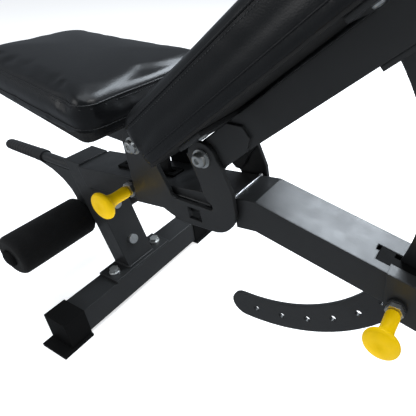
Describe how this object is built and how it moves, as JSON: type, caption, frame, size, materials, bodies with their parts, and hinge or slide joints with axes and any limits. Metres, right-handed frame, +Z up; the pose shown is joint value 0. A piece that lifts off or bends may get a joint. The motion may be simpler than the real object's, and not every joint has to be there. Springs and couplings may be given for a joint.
{
  "type": "adjustable weight bench",
  "caption": "Adjustable weight bench: a slotted beam on splayed legs carries a backrest locked by a pinned arc, a tilting seat, foam leg rollers and transport wheels.",
  "frame": {"origin": "on the floor, under the middle of the whole bench's bounding box", "axes": "+Z up; +X from the leg rollers towards the backrest's head end; -Y is the side with the pull pins"},
  "size_m": [1.408, 0.398, 0.927],
  "materials": {
    "frame_paint": "black powder coat, fine texture, satin",
    "zinc": "bright zinc plate",
    "knob": "yellow moulded plastic, semi-gloss",
    "black_plastic": "moulded black plastic, satin",
    "foam": "closed-cell foam, matte",
    "grip_rubber": "dipped rubber, satin",
    "vinyl": "black vinyl-coated upholstery fabric, semi-gloss",
    "plywood": "unfinished plywood"
  },
  "bodies": {
    "main_frame": {"front_foot_bar": "frame_paint", "front_foot_cap_near": "black_plastic", "front_foot_cap_far": "black_plastic", "front_base_plate": "frame_paint", "front_base_bolt_near": "zinc", "front_base_bolt_far": "zinc", "front_leg": "frame_paint", "rear_foot_bar": "frame_paint", "rear_foot_cap_near": "black_plastic", "rear_foot_cap_far": "black_plastic", "rear_base_plate": "frame_paint", "rear_base_bolt_near": "zinc", "rear_base_bolt_far": "zinc", "rear_leg": "frame_paint", "roller_arm": "frame_paint", "roller_arm_bolt_lower": "zinc", "roller_arm_bolt_upper": "zinc", "handle_tube": "frame_paint", "handle_grip": "grip_rubber", "roller_axle": "frame_paint", "roller_cap_near": "black_plastic", "roller_cap_far": "black_plastic", "front_beam": "frame_paint", "rear_beam": "frame_paint", "seat_slot_guide": "black_plastic", "arc_guide": "black_plastic", "guide_saddle": "frame_paint", "side_plate_near": "frame_paint", "side_plate_far": "frame_paint", "back_pivot_bolt": "zinc", "back_pivot_nut": "zinc", "seat_pivot_bolt": "zinc", "seat_pivot_nut": "zinc", "back_pin_housing": "frame_paint", "back_pin_nut": "zinc", "back_pin_spring": "zinc", "seat_pin_housing": "frame_paint", "seat_pin_nut": "zinc", "seat_pin_spring": "zinc", "wheel_bracket_near": "frame_paint", "wheel_bracket_far": "frame_paint", "wheel_axle_near": "zinc", "wheel_axle_far": "zinc"},
    "backrest": {"back_frame": "frame_paint", "back_tube_plug": "black_plastic", "arc_plate": "frame_paint", "back_board": "plywood", "back_pad": "vinyl"},
    "seat": {"seat_frame": "frame_paint", "seat_quadrant": "frame_paint", "seat_board": "plywood", "seat_pad": "vinyl"},
    "roller_near": {"foam_roller_near": "foam"},
    "roller_far": {"foam_roller_far": "foam"},
    "wheel_near": {"transport_wheel_near": "black_plastic"},
    "wheel_far": {"transport_wheel_far": "black_plastic"},
    "back_pin": {"back_pin_plunger": "zinc", "back_pin_knob": "knob"},
    "seat_pin": {"seat_pin_plunger": "zinc", "seat_pin_knob": "knob"}
  },
  "joints": [
    {"name": "backrest_hinge", "type": "hinge", "parent": "main_frame", "child": "backrest", "pos_m": [-0.108, 0, 0.388], "axis": [0, -1, 0], "range_deg": [-38, 47.5]},
    {"name": "seat_hinge", "type": "hinge", "parent": "main_frame", "child": "seat", "pos_m": [-0.24, 0, 0.376], "axis": [0, -1, 0], "range_deg": [-15, 0]},
    {"name": "roller_near_spin", "type": "hinge", "parent": "main_frame", "child": "roller_near", "pos_m": [-0.488, 0, 0.142], "axis": [0, 1, 0], "continuous": true},
    {"name": "roller_far_spin", "type": "hinge", "parent": "main_frame", "child": "roller_far", "pos_m": [-0.488, 0, 0.142], "axis": [0, 1, 0], "continuous": true},
    {"name": "wheel_near_spin", "type": "hinge", "parent": "main_frame", "child": "wheel_near", "pos_m": [0.666, 0, 0.046], "axis": [0, 1, 0], "continuous": true},
    {"name": "wheel_far_spin", "type": "hinge", "parent": "main_frame", "child": "wheel_far", "pos_m": [0.666, 0, 0.046], "axis": [0, 1, 0], "continuous": true},
    {"name": "back_pin_pull", "type": "slide", "parent": "main_frame", "child": "back_pin", "axis": [0, -1, 0], "range_m": [0, 0.01], "stiffness_N_per_m": 1000, "springref_m": -0.008, "deforming": ["back_pin_spring"]},
    {"name": "seat_pin_pull", "type": "slide", "parent": "main_frame", "child": "seat_pin", "axis": [0, -1, 0], "range_m": [0, 0.01], "stiffness_N_per_m": 1000, "springref_m": -0.008, "deforming": ["seat_pin_spring"]}
  ]
}
